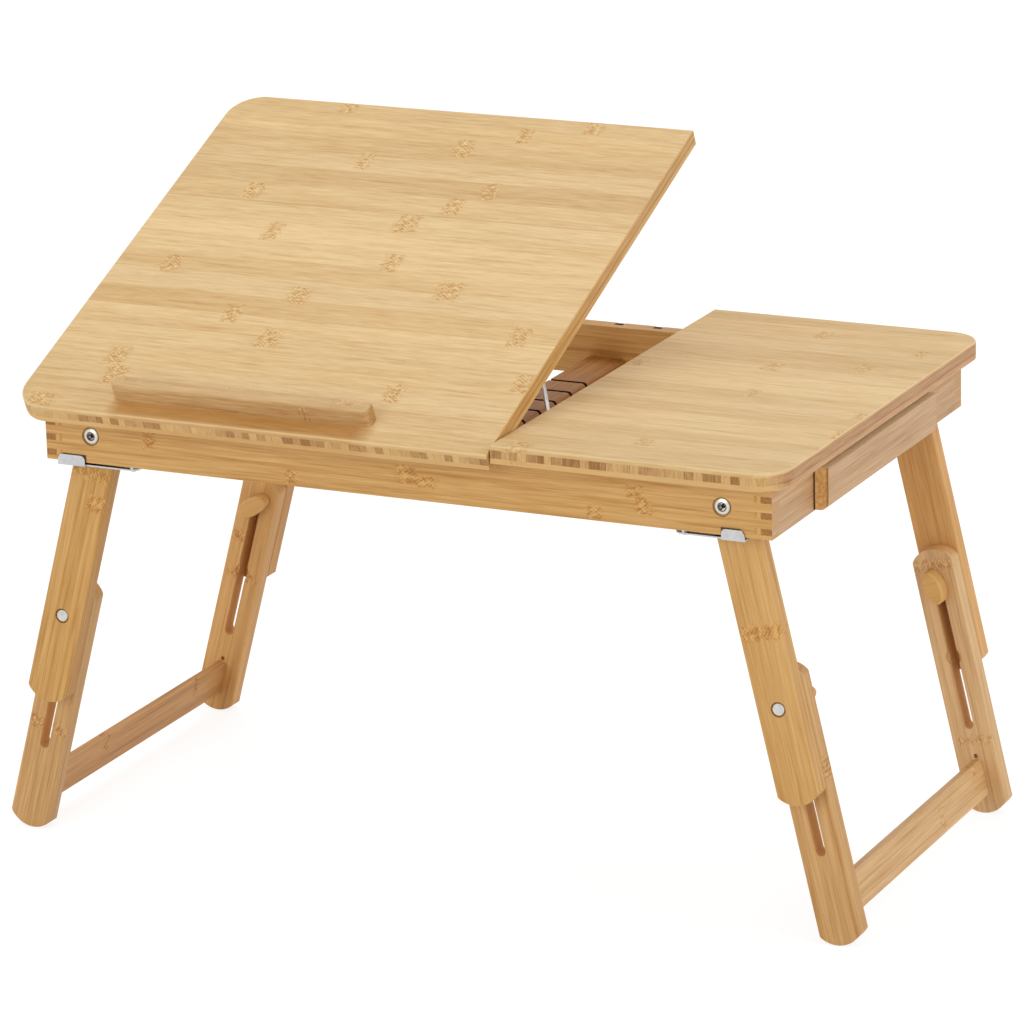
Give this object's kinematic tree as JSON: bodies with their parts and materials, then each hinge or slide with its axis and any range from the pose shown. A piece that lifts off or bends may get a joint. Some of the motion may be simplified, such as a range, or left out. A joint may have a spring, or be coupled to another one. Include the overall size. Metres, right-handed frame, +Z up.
{
  "type": "laptop stand",
  "caption": "Bamboo lap desk on two pairs of telescopic folding legs, with a tilting laptop panel held by a wire prop and a side panel over a drawer.",
  "frame": {"origin": "on the floor, under the middle of the rectangular box frame", "axes": "+Z up, +X to the right along the front edge towards the drawer, +Y away from the user towards the back"},
  "size_m": [0.6257, 0.3611, 0.4534],
  "materials": {
    "bamboo_top": "clear satin lacquer on light bamboo ply",
    "bamboo_rail": "clear satin lacquer on caramel bamboo",
    "bamboo_right": "clear satin lacquer on caramel bamboo",
    "bamboo_inner": "clear satin lacquer on bamboo",
    "bamboo_leg": "clear satin lacquer on bamboo",
    "bamboo_knob": "clear satin lacquer on bamboo",
    "bamboo_ledge": "clear satin lacquer on bamboo",
    "bright_steel": "bright nickel plate",
    "plated_steel": "zinc plate"
  },
  "bodies": {
    "base": {"front_rail": "bamboo_rail", "back_rail": "bamboo_rail", "left_rail": "bamboo_rail", "right_rail": "bamboo_right", "notched_bar": "bamboo_inner", "fixed_top": "bamboo_top", "hinge_leaves_lower": "plated_steel", "hinge_pins": "plated_steel", "hinge_screws_lower": "plated_steel", "pivot_bolts": "bright_steel", "drawer_guide_front": "bamboo_inner", "drawer_guide_back": "bamboo_inner", "drawer_bay_wall": "bamboo_inner", "latch_screws": "bright_steel", "latch_washers": "bright_steel"},
    "top_panel": {"tilt_top": "bamboo_top", "ledge": "bamboo_ledge", "hinge_leaves_upper": "plated_steel", "hinge_screws_upper": "plated_steel", "bail_clips": "bright_steel", "bail_clip_screws": "bright_steel"},
    "bail": {"bail_wire": "bright_steel"},
    "left_upper": {"left_upper_leg_front": "bamboo_leg", "left_upper_leg_back": "bamboo_leg", "left_slot_bolts": "bright_steel", "left_bushes": "plated_steel"},
    "right_upper": {"right_upper_leg_front": "bamboo_leg", "right_upper_leg_back": "bamboo_leg", "right_slot_bolts": "bright_steel", "right_bushes": "plated_steel"},
    "left_lower": {"left_lower_leg_front": "bamboo_leg", "left_lower_leg_back": "bamboo_leg", "left_stretcher": "bamboo_leg"},
    "right_lower": {"right_lower_leg_front": "bamboo_leg", "right_lower_leg_back": "bamboo_leg", "right_stretcher": "bamboo_leg"},
    "drawer": {"drawer_front": "bamboo_right", "drawer_side_front": "bamboo_inner", "drawer_side_back": "bamboo_inner", "drawer_inner_end": "bamboo_inner", "drawer_floor": "bamboo_inner"},
    "latch_left_body": {"latch_left": "bright_steel"},
    "latch_right_body": {"latch_right": "bright_steel"},
    "knob_front_left_grip": {"knob_front_left": "bamboo_knob", "knob_nut_front_left": "plated_steel"},
    "knob_back_left_grip": {"knob_back_left": "bamboo_knob", "knob_nut_back_left": "plated_steel"},
    "knob_front_right_grip": {"knob_front_right": "bamboo_knob", "knob_nut_front_right": "plated_steel"},
    "knob_back_right_grip": {"knob_back_right": "bamboo_knob", "knob_nut_back_right": "plated_steel"}
  },
  "joints": [
    {"name": "top_tilt", "type": "hinge", "parent": "base", "child": "top_panel", "pos_m": [0, -0.1665, 0.309], "axis": [1, 0, 0], "range_deg": [-22.7, 12]},
    {"name": "bail_fold", "type": "hinge", "parent": "top_panel", "child": "bail", "pos_m": [0, -0.01327, 0.37027], "axis": [1, 0, 0], "range_deg": [0, 92]},
    {"name": "left_fold", "type": "hinge", "parent": "base", "child": "left_upper", "pos_m": [-0.226, 0, 0.2922], "axis": [0, -1, 0], "range_deg": [0, 60]},
    {"name": "left_height", "type": "slide", "parent": "left_upper", "child": "left_lower", "axis": [0.2672, 0, 0.9636], "range_m": [0, 0.102]},
    {"name": "knob_front_left_turn", "type": "hinge", "parent": "left_upper", "child": "knob_front_left_grip", "pos_m": [-0.26261, -0.118, 0.16018], "axis": [0, 1, 0], "continuous": true},
    {"name": "knob_back_left_turn", "type": "hinge", "parent": "left_upper", "child": "knob_back_left_grip", "pos_m": [-0.26261, 0.118, 0.16018], "axis": [0, 1, 0], "continuous": true},
    {"name": "right_fold", "type": "hinge", "parent": "base", "child": "right_upper", "pos_m": [0.226, 0, 0.2922], "axis": [0, 1, 0], "range_deg": [0, 58]},
    {"name": "right_height", "type": "slide", "parent": "right_upper", "child": "right_lower", "axis": [-0.2267, 0, 0.974], "range_m": [-0.003, 0.099]},
    {"name": "knob_front_right_turn", "type": "hinge", "parent": "right_upper", "child": "knob_front_right_grip", "pos_m": [0.25705, -0.118, 0.15876], "axis": [0, 1, 0], "continuous": true},
    {"name": "knob_back_right_turn", "type": "hinge", "parent": "right_upper", "child": "knob_back_right_grip", "pos_m": [0.25705, 0.118, 0.15876], "axis": [0, 1, 0], "continuous": true},
    {"name": "drawer_slide", "type": "slide", "parent": "base", "child": "drawer", "axis": [1, 0, 0], "range_m": [0, 0.13]},
    {"name": "latch_left_turn", "type": "hinge", "parent": "base", "child": "latch_left_body", "pos_m": [-0.198, -0.1575, 0.272], "axis": [0, 0, 1], "range_deg": [0, 90]},
    {"name": "latch_right_turn", "type": "hinge", "parent": "base", "child": "latch_right_body", "pos_m": [0.198, -0.1575, 0.272], "axis": [0, 0, -1], "range_deg": [0, 90]}
  ]
}
